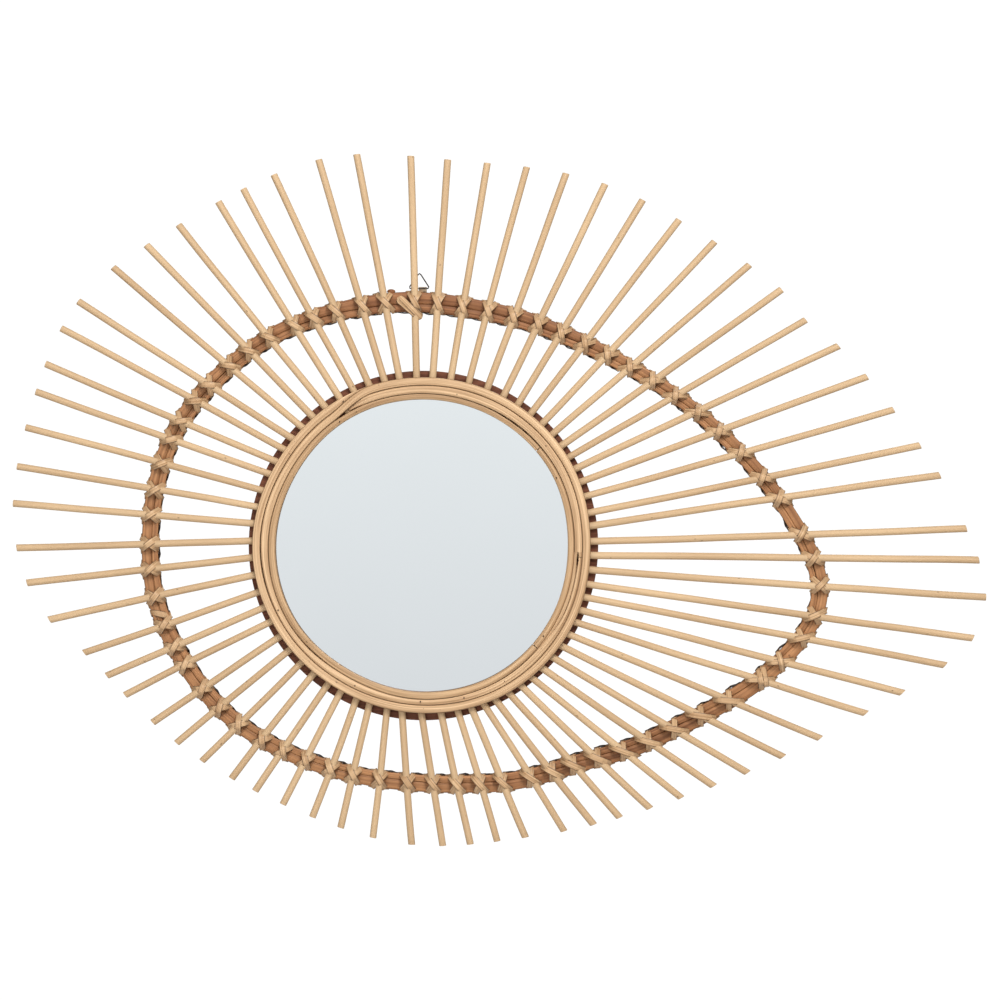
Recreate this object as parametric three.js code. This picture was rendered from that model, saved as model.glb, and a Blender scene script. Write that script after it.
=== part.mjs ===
// Wall mirror: a round glass in three rings of round cane, with a fan of cane sticks
// that is bound across an egg-shaped hoop, so that the stick ends draw an eye.
// Millimetres, +Z up, +X to the right as seen from the front. The glass faces -Y.
// The origin is where the hanger wire bears on its hook, in the plane of the wall (y = 0).

import * as THREE from 'three';
import { mergeVertices } from 'three/addons/utils/BufferGeometryUtils.js';

// Driving dimensions, shared
const CENTRE_X = 3.5;            // centre of the glass, from the hanging point
const CENTRE_Z = -233;
const TOUCH_GAP = 0.3;           // room left between pieces that touch

// Backing disc and glass
const BOARD_RADIUS = 150.5;
const BOARD_THICKNESS = 9;
const GLASS_RADIUS = 128;
const GLASS_THICKNESS = 5;

// Sticks
const STICK_COUNT = 68;
const STICK_RADIUS = 3.2;        // corner radius of the six-sided bar that stands for a 6 mm stick
const STICK_FOOT_REACH = 130;    // from the centre of the glass to the inner end
const STICK_CUT_SHARE = 0.6;     // how far an end is cut along the eye outline, 1 being all the way
const STICK_CUT_LIMIT = 0.7;     // steepest slant of a cut end, in millimetres per millimetre

// Lean of the sticks from an even spread, in degrees, at every fourth stick from the right
const FOOT_LEAN = [1.3, 1, -1.6, -2, 2.2, 2.1, 3.2, 1.3, 2.8, 4.7, 6.1, 7.5, 8.3, 10.3, 6.5, 5.1, 2.6];
const TIP_LEAN = [2.5, -0.3, -1.6, -0.2, 1.7, 5.3, 5.6, 6.1, 4.7, 6.3, 6.9, 8.6, 13, 14.8, 14.3, 11.9, 8.3];

// Sticks that stray from that lean, by their place in the fan, in degrees
const FOOT_STRAY = { 2: -0.7, 29: -0.6, 43: 0.6, 46: -0.7, 48: -0.9, 50: 1.1, 51: 0.8, 53: -0.9, 54: -0.9, 56: 0.6 };
const TIP_STRAY = {
  0: -0.7, 1: 0.9, 17: -0.7, 18: 0.8, 20: 0.8, 22: -1.3, 26: 1.1, 29: -1, 30: -0.7, 33: 0.7, 36: 0.7, 38: -1.2,
  42: 0.7, 46: -0.7, 47: -0.6, 48: 0.7, 49: 0.6, 51: -0.6, 52: -0.8, 53: 0.8, 54: 0.7, 62: 0.7, 65: -0.6,
};

// Eye outline of the stick ends, from the centre of the glass, counter-clockwise from the right
const EYE_OUTLINE = [
  [458, 35], [378, 150], [329, 194], [290, 235], [162, 309], [31, 331], [-94, 331], [-228, 265],
  [-307, 195], [-351, 58], [-339, -37], [-285, -99], [-188, -187], [-36, -253], [95, -250],
  [222, -217], [352, -160], [477, -73],
];

// Hoop: line midway across its two canes, and the width across both every 30 degrees
const HOOP_OUTLINE = [
  [309, 36], [234, 116], [144, 171], [59, 202], [-40, 209], [-144, 172], [-220, 85], [-232, -39],
  [-173, -142], [-70, -195], [57, -205], [142, -185], [199, -166], [294, -112], [341, -44],
];
const HOOP_WIDTH = [13.5, 12.5, 15, 19, 14.5, 14.5, 14, 14.5, 13.5, 14.5, 15.5, 15.5];
const HOOP_OUTER_SHARE = 0.6;    // share of that width taken by the outer cane
const HOOP_OUTER_DEPTH = 7.4;
const HOOP_INNER_DEPTH = 6;

// Frame canes
const FRAME_INNER_RADIUS = 125.2;
const FRAME_OUTER_RADIUS = 145.2;
const FRAME_CANES = ['frame_cane_inner', 'frame_cane_middle', 'frame_cane_outer'];
const FRAME_CANE_DEPTH = 6.4;

// Binding strip
const STRIP_THICKNESS = 0.9;
const ARM_ROOT = 4.6;            // an arm leaves the stick over this length, from the crossing
const ARM_NEAR = 3.4;            // near and far corner of an arm's end, square to the middle of the stick
const ARM_FAR = 6.6;
const ARM_OVERHANG = 1.1;        // the arm's end stands this far outside the hoop
const ARM_END_DEPTH = 9.1;       // top of that end, in front of the wall
const LINK_STAND_OFF = 1.6;      // halfway between two sticks the strip stands this far off the hoop
const LINK_DEPTHS = [2.4, 7.4];  // its two edges there, in front of the wall

// Hanger
const WIRE_RADIUS = 0.55;
const WIRE_DEPTH = 1.7;
const WIRE_CORNERS = [[0, 2.4], [-9.6, -11.4], [8.9, -11.4]];
const WIRE_CORNER_CUT = 2.2;     // a corner's bend starts this far from where the sides meet
const STRAP_WIDTH = 6.9;
const STRAP_CENTRE_X = 2.8;
const STRAP_THICKNESS = 0.5;
const STRAP_FRONT_END = -14;
const STRAP_REAR_END = -31;

// Facets
const RING_STEPS = 36;
const HOOP_STEPS = 64;
const DISC_STEPS = 40;
const CANE_SIDES = 6;
const CURVE_SAMPLES = 720;

// Depths in front of the wall, worked out from the pieces behind
const STICK_DEPTH = BOARD_THICKNESS + TOUCH_GAP + STICK_RADIUS;
const FRAME_DEPTH = STICK_DEPTH + STICK_RADIUS + TOUCH_GAP + FRAME_CANE_DEPTH / 2;
const HOOP_FRONT_DEPTH = STICK_DEPTH - STICK_RADIUS - TOUCH_GAP;
const GLASS_DEPTH = BOARD_THICKNESS + TOUCH_GAP + GLASS_THICKNESS / 2;

// Finishes
const PALE_CANE = new THREE.MeshStandardMaterial({ color: 0xdcb988, roughness: 0.6, metalness: 0 });
const BROWN_CANE = new THREE.MeshStandardMaterial({ color: 0xa8744a, roughness: 0.65, metalness: 0 });
const STAINED_BOARD = new THREE.MeshStandardMaterial({ color: 0x5f3727, roughness: 0.7, metalness: 0 });
const SILVERED_GLASS = new THREE.MeshStandardMaterial({ color: 0xdde3e7, roughness: 0.03, metalness: 1 });
const DARK_WIRE = new THREE.MeshStandardMaterial({ color: 0x3c3a38, roughness: 0.4, metalness: 1 });
const STRAP_STEEL = new THREE.MeshStandardMaterial({ color: 0xb9a583, roughness: 0.4, metalness: 1 });

const mirror = new THREE.Group();
mirror.name = 'wall_mirror';

function addPiece(name, geometry, material) {
  const mesh = new THREE.Mesh(geometry, material);
  mesh.name = name;
  mirror.add(mesh);
}

function sealed(geometry) {
  geometry.deleteAttribute('normal');
  geometry.deleteAttribute('uv');
  const merged = mergeVertices(geometry);
  merged.computeVertexNormals();
  return merged;
}

// A smooth value between even stations round a full turn
function around(stations, turn) {
  const count = stations.length;
  const place = (((turn % 1) + 1) % 1) * count;
  const here = Math.floor(place);
  const f = place - here;
  const [a, b, c, d] = [-1, 0, 1, 2].map((step) => stations[(here + step + count) % count]);
  return 0.5 * (2 * b + (c - a) * f + (2 * a - 5 * b + 4 * c - d) * f * f + (3 * b - a - 3 * c + d) * f ** 3);
}

// A closed curve through outline points given from the centre of the glass
function outlineCurve(points) {
  const places = points.map(([x, z]) => new THREE.Vector3(CENTRE_X + x, 0, CENTRE_Z + z));
  return new THREE.CatmullRomCurve3(places, true, 'catmullrom', 0.5);
}

const eyeCurve = outlineCurve(EYE_OUTLINE);
const hoopCurve = outlineCurve(HOOP_OUTLINE);
const eyePoints = eyeCurve.getPoints(CURVE_SAMPLES);
const hoopPoints = hoopCurve.getPoints(CURVE_SAMPLES);

function angleFromCentre(point) {
  return Math.atan2(point.z - CENTRE_Z, point.x - CENTRE_X);
}

function fromCentre(angle, reach) {
  return new THREE.Vector3(CENTRE_X + reach * Math.cos(angle), 0, CENTRE_Z + reach * Math.sin(angle));
}

function crossProduct(a, b) {
  return a.x * b.z - a.z * b.x;
}

// Where a line from one point through another meets a closed row of points, and that row's direction
function meeting(start, through, row) {
  const direction = through.clone().sub(start).normalize();
  for (let k = 1; k < row.length; k += 1) {
    const side = row[k].clone().sub(row[k - 1]);
    const toSide = row[k - 1].clone().sub(start);
    const spread = crossProduct(direction, side);
    const distance = crossProduct(toSide, side) / spread;
    const share = crossProduct(toSide, direction) / spread;
    if (distance > 0 && share >= 0 && share < 1) {
      return { point: start.clone().addScaledVector(direction, distance), tangent: side.normalize() };
    }
  }
  throw new Error('the line meets no side');
}

// A closed cane along a curve in the XZ plane that runs counter-clockwise as seen from the front.
// offset moves it outwards, half gives its half width there, depth and halfDepth place it in Y.
function loopCane(curve, { offset, half, depth, halfDepth, steps }) {
  const geometry = new THREE.TorusGeometry(2, 1, CANE_SIDES, steps);
  const { position, uv } = geometry.attributes;
  const place = new THREE.Vector3();
  for (let k = 0; k < position.count; k += 1) {
    const turn = uv.getX(k) % 1;
    const round = uv.getY(k) * 2 * Math.PI;
    const centre = curve.getPointAt(turn);
    const tangent = curve.getTangentAt(turn);
    const outward = new THREE.Vector3(tangent.z, 0, -tangent.x);
    place.copy(centre).addScaledVector(outward, offset(centre) + half(centre) * Math.cos(round));
    position.setXYZ(k, place.x, -depth - halfDepth * Math.sin(round), place.z);
  }
  return sealed(geometry);
}

// Backing disc and glass
function disc(radius, thickness, depth) {
  const geometry = new THREE.CylinderGeometry(radius, radius, thickness, DISC_STEPS);
  geometry.translate(CENTRE_X, -depth, CENTRE_Z);
  return sealed(geometry);
}

addPiece('backing_disc', disc(BOARD_RADIUS, BOARD_THICKNESS, BOARD_THICKNESS / 2), STAINED_BOARD);
addPiece('mirror_glass', disc(GLASS_RADIUS, GLASS_THICKNESS, GLASS_DEPTH), SILVERED_GLASS);

// Frame canes, side by side round the glass, over the feet of the sticks
class Circle extends THREE.Curve {
  constructor(radius) {
    super();
    this.radius = radius;
  }

  getPoint(turn, target = new THREE.Vector3()) {
    return target.copy(fromCentre(turn * 2 * Math.PI, this.radius));
  }
}

const frameCaneWidth = (FRAME_OUTER_RADIUS - FRAME_INNER_RADIUS) / FRAME_CANES.length;
FRAME_CANES.forEach((name, k) => {
  const circle = new Circle(FRAME_INNER_RADIUS + (k + 0.5) * frameCaneWidth);
  addPiece(name, loopCane(circle, {
    offset: () => 0,
    half: () => (frameCaneWidth - TOUCH_GAP) / 2,
    depth: FRAME_DEPTH,
    halfDepth: FRAME_CANE_DEPTH / 2,
    steps: RING_STEPS,
  }), PALE_CANE);
});

// Hoop of two canes behind the sticks
function hoopWidth(point) {
  return around(HOOP_WIDTH, angleFromCentre(point) / (2 * Math.PI));
}

function hoopSplit(point) {
  return hoopWidth(point) * (0.5 - HOOP_OUTER_SHARE);
}

// The point beside the hoop nearest to a given one, outside it for sign 1 and inside it for -1
function besideHoop(flat, sign, standOff) {
  const nearest = hoopPoints.reduce((best, point, k) => (
    flat.distanceTo(point) < flat.distanceTo(hoopPoints[best]) ? k : best
  ), 0);
  const here = hoopPoints[nearest];
  const behind = hoopPoints[(nearest + CURVE_SAMPLES - 1) % CURVE_SAMPLES];
  const ahead = hoopPoints[(nearest + 1) % CURVE_SAMPLES];
  const tangent = ahead.clone().sub(behind).normalize();
  const outward = new THREE.Vector3(tangent.z, 0, -tangent.x);
  const slide = flat.clone().sub(here).dot(tangent);
  return here.clone().addScaledVector(tangent, slide)
    .addScaledVector(outward, sign * (hoopWidth(here) / 2 + standOff));
}

addPiece('hoop_cane_outer', loopCane(hoopCurve, {
  offset: (point) => (hoopWidth(point) / 2 + hoopSplit(point) + TOUCH_GAP / 2) / 2,
  half: (point) => (hoopWidth(point) / 2 - hoopSplit(point) - TOUCH_GAP / 2) / 2,
  depth: HOOP_FRONT_DEPTH - HOOP_OUTER_DEPTH / 2,
  halfDepth: HOOP_OUTER_DEPTH / 2,
  steps: HOOP_STEPS,
}), BROWN_CANE);

addPiece('hoop_cane_inner', loopCane(hoopCurve, {
  offset: (point) => (hoopSplit(point) - TOUCH_GAP / 2 - hoopWidth(point) / 2) / 2,
  half: (point) => (hoopSplit(point) - TOUCH_GAP / 2 + hoopWidth(point) / 2) / 2,
  depth: HOOP_FRONT_DEPTH - HOOP_INNER_DEPTH / 2,
  halfDepth: HOOP_INNER_DEPTH / 2,
  steps: HOOP_STEPS,
}), BROWN_CANE);

// Sticks, bound to the hoop two by two. A stick is a six-sided bar with a ridge to the front, so
// that the four arms of the binding grow out of its upright sides.
const STICK_SECTION = Array.from({ length: CANE_SIDES }, (_, k) => {
  const round = (k - 0.5) * (2 * Math.PI / CANE_SIDES);
  return { across: STICK_RADIUS * Math.cos(round), front: STICK_RADIUS * Math.sin(round) };
});
const RIGHT_SIDE = 0;
const RIDGE = 2;
const LEFT_SIDE = 3;
const RINGS = { foot: 0, below: 1, middle: 2, above: 3, tip: 4 };

class PieceBuilder {
  constructor() {
    this.places = [];
    this.triangles = [];
  }

  point(flat, depth) {
    this.places.push(flat.x, -depth, flat.z);
    return this.places.length / 3 - 1;
  }

  face(loop) {
    for (let k = 2; k < loop.length; k += 1) {
      this.triangles.push(loop[0], loop[k - 1], loop[k]);
    }
  }

  // The walls between two loops of as many points
  walls(first, second) {
    first.forEach((here, k) => {
      const next = (k + 1) % first.length;
      this.face([here, first[next], second[next], second[k]]);
    });
  }

  geometry() {
    const geometry = new THREE.BufferGeometry();
    geometry.setAttribute('position', new THREE.Float32BufferAttribute(this.places, 3));
    geometry.setIndex(this.triangles);
    geometry.computeVertexNormals();
    return geometry;
  }
}

function layStick(index) {
  const share = index / STICK_COUNT;
  const footLean = around(FOOT_LEAN, share) + (FOOT_STRAY[index] ?? 0);
  const tipLean = around(TIP_LEAN, share) + (TIP_STRAY[index] ?? 0);
  const footAngle = THREE.MathUtils.degToRad(360 * share + footLean);
  const tipAngle = THREE.MathUtils.degToRad(360 * share + tipLean);
  const foot = fromCentre(footAngle, STICK_FOOT_REACH);
  const eye = meeting(fromCentre(0, 0), fromCentre(tipAngle, 1), eyePoints);
  const along = eye.point.clone().sub(foot).normalize();
  const across = new THREE.Vector3(-along.z, 0, along.x);
  const slope = eye.tangent.dot(along) / eye.tangent.dot(across);
  const cut = THREE.MathUtils.clamp(slope * STICK_CUT_SHARE, -STICK_CUT_LIMIT, STICK_CUT_LIMIT);
  const { point, tangent } = meeting(foot, eye.point, hoopPoints);
  const outward = new THREE.Vector3(tangent.z, 0, -tangent.x);
  return { foot, tip: eye.point, along, across, cut, point, tangent, outward };
}

// One arm of the binding: it leaves a side of the stick and ends at the edge of the hoop.
// The corners near the stick come from the ring of points away from the crossing, the far ones
// from the ring at the crossing.
function bindingArm(builder, rings, stick, side, inner) {
  const { point, tangent, outward, along } = stick;
  const towards = side === RIGHT_SIDE ? 1 : -1;
  const sign = inner ? -1 : 1;
  const reach = sign * (hoopWidth(point) / 2 + ARM_OVERHANG);
  const square = along.dot(outward);
  const drift = reach * along.dot(tangent) / square;
  const corner = (offset, depth) => {
    const aside = point.clone().addScaledVector(outward, reach);
    aside.addScaledVector(tangent, drift + towards * offset / square);
    return builder.point(besideHoop(aside, sign, ARM_OVERHANG), depth);
  };
  const [first, second] = inner ? [RINGS.below, RINGS.middle] : [RINGS.middle, RINGS.above];
  const root = [
    rings[first][side], rings[first][side + 1], rings[second][side + 1], rings[second][side],
  ];
  const low = ARM_END_DEPTH - STRIP_THICKNESS;
  const near = { low: corner(ARM_NEAR, low), top: corner(ARM_NEAR, ARM_END_DEPTH) };
  const far = { low: corner(ARM_FAR, low), top: corner(ARM_FAR, ARM_END_DEPTH) };
  const [before, after] = inner ? [near, far] : [far, near];
  const end = side === RIGHT_SIDE
    ? [before.low, before.top, after.top, after.low]
    : [before.top, before.low, after.low, after.top];
  builder.walls(root, end);
  return { end, near, far };
}

function boundStick(builder, stick) {
  const { foot, tip, along, across, cut, point } = stick;
  const length = tip.distanceTo(foot);
  const crossing = point.distanceTo(foot);
  const stations = [0, crossing - ARM_ROOT, crossing, crossing + ARM_ROOT, length];
  const rings = stations.map((station, ring) => STICK_SECTION.map((corner, k) => {
    const slant = ring === RINGS.tip ? cut * corner.across : 0;
    const raise = ring === RINGS.middle && k === RIDGE ? STRIP_THICKNESS : 0;
    const flat = foot.clone().addScaledVector(along, station + slant).addScaledVector(across, corner.across);
    return builder.point(flat, STICK_DEPTH + corner.front + raise);
  }));
  builder.face([...rings[RINGS.foot]].reverse());
  builder.face(rings[RINGS.tip]);
  for (let ring = 0; ring < RINGS.tip; ring += 1) {
    for (let side = 0; side < CANE_SIDES; side += 1) {
      const next = (side + 1) % CANE_SIDES;
      const armed = (side === RIGHT_SIDE || side === LEFT_SIDE) && ring > RINGS.foot && ring < RINGS.above;
      if (!armed) {
        builder.face([rings[ring][side], rings[ring][next], rings[ring + 1][next], rings[ring + 1][side]]);
      }
    }
  }
  return {
    innerRight: bindingArm(builder, rings, stick, RIGHT_SIDE, true),
    innerLeft: bindingArm(builder, rings, stick, LEFT_SIDE, true),
    outerRight: bindingArm(builder, rings, stick, RIGHT_SIDE, false),
    outerLeft: bindingArm(builder, rings, stick, LEFT_SIDE, false),
  };
}

// The strip runs on from one stick to the next, on edge along the inner side of the hoop
function bindingLink(builder, first, second, fromArm, toArm) {
  const halfway = first.point.clone().lerp(second.point, 0.5);
  const hoopSide = besideHoop(halfway, -1, LINK_STAND_OFF);
  const glassSide = besideHoop(halfway, -1, LINK_STAND_OFF + STRIP_THICKNESS);
  const [low, top] = LINK_DEPTHS;
  const middle = [
    builder.point(glassSide, low), builder.point(glassSide, top),
    builder.point(hoopSide, top), builder.point(hoopSide, low),
  ];
  const landing = [toArm.near.low, toArm.near.top, toArm.far.top, toArm.far.low];
  builder.walls(fromArm.end, middle);
  builder.walls(middle, landing);
}

const sticks = Array.from({ length: STICK_COUNT }, (_, index) => layStick(index));
for (let k = 0; k < STICK_COUNT; k += 2) {
  const builder = new PieceBuilder();
  const [first, second] = [sticks[k], sticks[k + 1]];
  const firstArms = boundStick(builder, first);
  const secondArms = boundStick(builder, second);
  bindingLink(builder, first, second, firstArms.innerRight, secondArms.innerLeft);
  const open = [firstArms.innerRight, secondArms.innerLeft];
  [...Object.values(firstArms), ...Object.values(secondArms)]
    .filter((arm) => !open.includes(arm))
    .forEach((arm) => builder.face(arm.end));
  addPiece(`stick_pair_${String(k / 2 + 1).padStart(2, '0')}`, builder.geometry(), PALE_CANE);
}

// Hanger wire: a triangle with bent corners, standing on the strap that holds its base
const wireCurve = new THREE.CurvePath();
const wireCorners = WIRE_CORNERS.map(([x, z]) => new THREE.Vector3(x, 0, z));
const towards = (from, to) => from.clone().add(to.clone().sub(from).setLength(WIRE_CORNER_CUT));
wireCorners.forEach((corner, k) => {
  const before = wireCorners[(k + 2) % 3];
  const after = wireCorners[(k + 1) % 3];
  const leave = towards(corner, after);
  wireCurve.add(new THREE.QuadraticBezierCurve3(towards(corner, before), corner, leave));
  wireCurve.add(new THREE.LineCurve3(leave, towards(after, corner)));
});

addPiece('hanger_wire', loopCane(wireCurve, {
  offset: () => 0,
  half: () => WIRE_RADIUS,
  depth: WIRE_DEPTH,
  halfDepth: WIRE_RADIUS,
  steps: 30,
}), DARK_WIRE);

// Hanger strap: sheet folded over the base of the wire, its long leg behind the hoop
const strapInner = WIRE_RADIUS + TOUCH_GAP;
const strapOuter = strapInner + STRAP_THICKNESS;
const barHeight = WIRE_CORNERS[1][1];
const strapProfile = new THREE.Shape();
strapProfile.moveTo(strapOuter, STRAP_FRONT_END);
strapProfile.absarc(0, barHeight, strapOuter, 0, Math.PI, false);
strapProfile.lineTo(-strapOuter, STRAP_REAR_END);
strapProfile.lineTo(-strapInner, STRAP_REAR_END);
strapProfile.absarc(0, barHeight, strapInner, Math.PI, 0, true);
strapProfile.lineTo(strapInner, STRAP_FRONT_END);
const strapGeometry = new THREE.ExtrudeGeometry(strapProfile, {
  depth: STRAP_WIDTH,
  bevelEnabled: false,
  curveSegments: 4,
});
strapGeometry.rotateX(Math.PI / 2);
strapGeometry.rotateZ(-Math.PI / 2);
strapGeometry.translate(STRAP_CENTRE_X + STRAP_WIDTH / 2, -WIRE_DEPTH, 0);
addPiece('hanger_strap', sealed(strapGeometry), STRAP_STEEL);

export default mirror;
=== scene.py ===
import math
import random

import bmesh
import bpy
from mathutils import Matrix, Vector, noise


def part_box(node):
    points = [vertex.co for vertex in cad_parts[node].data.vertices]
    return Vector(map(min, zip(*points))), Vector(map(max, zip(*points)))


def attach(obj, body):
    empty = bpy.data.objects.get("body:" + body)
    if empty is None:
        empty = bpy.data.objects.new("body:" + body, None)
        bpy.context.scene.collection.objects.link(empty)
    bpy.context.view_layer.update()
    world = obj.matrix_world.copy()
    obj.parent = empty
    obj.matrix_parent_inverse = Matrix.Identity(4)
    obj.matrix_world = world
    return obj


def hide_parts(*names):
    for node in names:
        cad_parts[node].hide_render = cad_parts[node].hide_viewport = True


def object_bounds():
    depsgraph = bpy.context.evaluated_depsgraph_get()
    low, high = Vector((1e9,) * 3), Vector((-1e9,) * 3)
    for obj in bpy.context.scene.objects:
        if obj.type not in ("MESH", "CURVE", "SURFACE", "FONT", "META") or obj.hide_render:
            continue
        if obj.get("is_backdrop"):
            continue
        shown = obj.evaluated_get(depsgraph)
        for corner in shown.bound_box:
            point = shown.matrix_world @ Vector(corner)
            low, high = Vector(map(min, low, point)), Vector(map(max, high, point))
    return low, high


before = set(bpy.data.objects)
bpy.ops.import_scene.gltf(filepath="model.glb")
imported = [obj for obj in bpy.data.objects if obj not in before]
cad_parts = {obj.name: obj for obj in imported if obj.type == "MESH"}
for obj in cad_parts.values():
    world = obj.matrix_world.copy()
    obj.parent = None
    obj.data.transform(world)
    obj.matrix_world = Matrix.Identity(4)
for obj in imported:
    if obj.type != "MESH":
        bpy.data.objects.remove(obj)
cad_low, cad_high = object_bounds()


# Backing board
# A round of thin board, sawn and stained dark reddish brown. It carries the sticks, which are nailed
# to its front, and shows between them as a dark rim outside the frame canes. Its back faces the wall.
board_low, board_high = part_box("backing_disc")
board_radius = (board_high.x - board_low.x) / 2
board_thickness = board_high.y - board_low.y
centre = Vector(((board_low.x + board_high.x) / 2, 0, (board_low.z + board_high.z) / 2))
board_edge_round = 0.0007
board_colour = (0.20, 0.070, 0.036)
board_grain_colour = (0.105, 0.034, 0.016)
board_grain_stretch = (30, 500, 500)
board_relief = 0.0003


def new_material(name, roughness):
    """A material with its node list, its links and its shader."""
    material = bpy.data.materials.new(name)
    material.use_nodes = True
    nodes = material.node_tree.nodes
    shader = nodes["Principled BSDF"]
    shader.inputs["Roughness"].default_value = roughness
    return material, nodes, material.node_tree.links, shader


def new_node(nodes, kind, inputs):
    """A shader node with some of its inputs set."""
    node = nodes.new("ShaderNode" + kind)
    for name, value in inputs.items():
        node.inputs[name].default_value = value
    return node


def fixed_noise(nodes, links, scale, detail, stretch=(1, 1, 1)):
    """Noise that is fixed to the piece, with a stretch along each of its directions."""
    place = nodes.new("ShaderNodeTexCoord")
    stretched = new_node(nodes, "Mapping", {"Scale": stretch})
    pattern = new_node(nodes, "TexNoise", {"Scale": scale, "Detail": detail})
    links.new(place.outputs["Object"], stretched.inputs["Vector"])
    links.new(stretched.outputs["Vector"], pattern.inputs["Vector"])
    return pattern


def finish_piece(name, builder, materials, slot, *replaced, smooth_below=40):
    """The mesh becomes a piece that rides with the mirror. Faces with many sides stay flat."""
    mesh = bpy.data.meshes.new(name)
    bmesh.ops.recalc_face_normals(builder, faces=builder.faces)
    builder.to_mesh(mesh)
    builder.free()
    for material in materials:
        mesh.materials.append(material)
    mesh.shade_smooth()
    mesh.set_sharp_from_angle(angle=math.radians(smooth_below))
    for polygon in mesh.polygons:
        polygon.use_smooth = len(polygon.vertices) <= 4
    piece = bpy.data.objects.new(name, mesh)
    bpy.context.scene.collection.objects.link(piece)
    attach(piece, "root")
    if replaced:
        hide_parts(*replaced)


def disc(radius, thickness, middle_y, rim_round, segments):
    """A round plate with rounded rims, its face towards the front."""
    plate = bmesh.new()
    bmesh.ops.create_cone(
        plate, cap_ends=True, segments=segments, radius1=radius, radius2=radius, depth=thickness
    )
    rims = [edge for edge in plate.edges if abs(edge.verts[0].co.z - edge.verts[1].co.z) < thickness / 2]
    bmesh.ops.bevel(
        plate, geom=rims, offset=rim_round, segments=3, profile=0.5, affect="EDGES", material=-1
    )
    bmesh.ops.rotate(plate, verts=plate.verts, matrix=Matrix.Rotation(math.radians(90), 3, "X"))
    bmesh.ops.translate(plate, verts=plate.verts, vec=(centre.x, middle_y, centre.z))
    return plate


board_material, nodes, links, shader = new_material("stained_board", 0.6)
shader.inputs["Specular IOR Level"].default_value = 0.2
grain = fixed_noise(nodes, links, 1, 6, board_grain_stretch)
tone = nodes.new("ShaderNodeValToRGB")
tone.color_ramp.elements[0].position = 0.35
tone.color_ramp.elements[0].color = (*board_grain_colour, 1)
tone.color_ramp.elements[1].position = 0.62
tone.color_ramp.elements[1].color = (*board_colour, 1)
relief = new_node(nodes, "Bump", {"Strength": 0.35, "Distance": board_relief})
links.new(grain.outputs["Fac"], tone.inputs["Fac"])
links.new(tone.outputs["Color"], shader.inputs["Base Color"])
links.new(grain.outputs["Fac"], relief.inputs["Height"])
links.new(relief.outputs["Normal"], shader.inputs["Normal"])

board = disc(board_radius, board_thickness, -board_thickness / 2, board_edge_round, 160)
finish_piece("backing_disc_stained", board, [board_material], "stained_board", "backing_disc")


# Mirror glass
# A round of silvered glass with a ground rim, laid on the board inside the ring of sticks.
# The inner frame cane overlaps its edge.
glass_low, glass_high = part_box("mirror_glass")
glass_radius = (glass_high.x - glass_low.x) / 2
glass_thickness = glass_high.y - glass_low.y
glass_rim_round = 0.0006
silver_shade = (0.942, 0.957, 0.962)
silver_light = (0.958, 0.973, 0.978)


def colour_mix(nodes, first=None, second=None, blend="MIX"):
    """A mix of two colours. One that isn't given comes by a link."""
    mix = nodes.new("ShaderNodeMix")
    mix.data_type = "RGBA"
    mix.blend_type = blend
    for name, colour in (("A", first), ("B", second)):
        if colour:
            mix.inputs[name].default_value = (*colour, 1)
    return mix


glass_material, nodes, links, shader = new_material("silvered_glass", 0.015)
shader.inputs["Metallic"].default_value = 1
film = fixed_noise(nodes, links, 14, 3)
silver = colour_mix(nodes, silver_shade, silver_light)
haze = new_node(nodes, "MapRange", {"To Min": 0.01, "To Max": 0.022})
links.new(film.outputs["Fac"], silver.inputs["Factor"])
links.new(silver.outputs["Result"], shader.inputs["Base Color"])
links.new(film.outputs["Fac"], haze.inputs["Value"])
links.new(haze.outputs["Result"], shader.inputs["Roughness"])

glass = disc(glass_radius, glass_thickness, (glass_low.y + glass_high.y) / 2, glass_rim_round, 192)
finish_piece("mirror_glass_silvered", glass, [glass_material], "silvered_glass", "mirror_glass")


# Hoop
# Two round canes, skin on, steamed and bent into one egg-shaped loop side by side behind the sticks.
# They are browner than the sticks, with fine lengthwise grain, and close with a scarf under a binding.
hoop_outline = [
    (309, 36), (234, 116), (144, 171), (59, 201), (-40, 208), (-144, 172), (-220, 85), (-232, -39),
    (-173, -142), (-70, -195), (57, -205), (142, -185), (199, -166), (294, -112), (341, -44),
]
hoop_widths = [0.0135, 0.0125, 0.015, 0.0172, 0.0145, 0.0145, 0.014, 0.0145, 0.0135, 0.0145, 0.0155, 0.0155]
hoop_outer_share = 0.6
hoop_canes = {
    "hoop_cane_outer": (0.5, 0.5 - hoop_outer_share),
    "hoop_cane_inner": (0.5 - hoop_outer_share, -0.5),
}
hoop_press = 0.0003
hoop_flatness = 0.45
hoop_seam_wander = 0.07
hoop_swell = 0.03
hoop_wander = 0.0003
hoop_sides = 20
hoop_stations = 480
hoop_grain_radius = 0.004
speck_colour = (0.07, 0.03, 0.012)
brown_cane_light = (0.45, 0.205, 0.085)
brown_cane_dark = (0.10, 0.032, 0.010)
stain_deep = (0.88, 0.78, 0.74)
stain_faded = (1.45, 1.56, 1.62)
hoop_tones = [0.9, 0.9, 0.5, 0.15, 0.5, 0.85, 0.85, 0.95, 0.95, 1.0, 0.5, 0.7]
hoop_blotch = 0.35
scarf_end = Vector((-0.0243, 0, -0.0142))
scarf_end_radii = (0.0036, 0.0026, 0.0021)


def smooth_step(a, b, c, d, f):
    """The value a share f of the way from b to c, on a smooth curve through all four."""
    return 0.5 * (
        2 * b + (c - a) * f + (2 * a - 5 * b + 4 * c - d) * f * f + (3 * b - a - 3 * c + d) * f ** 3
    )


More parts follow.
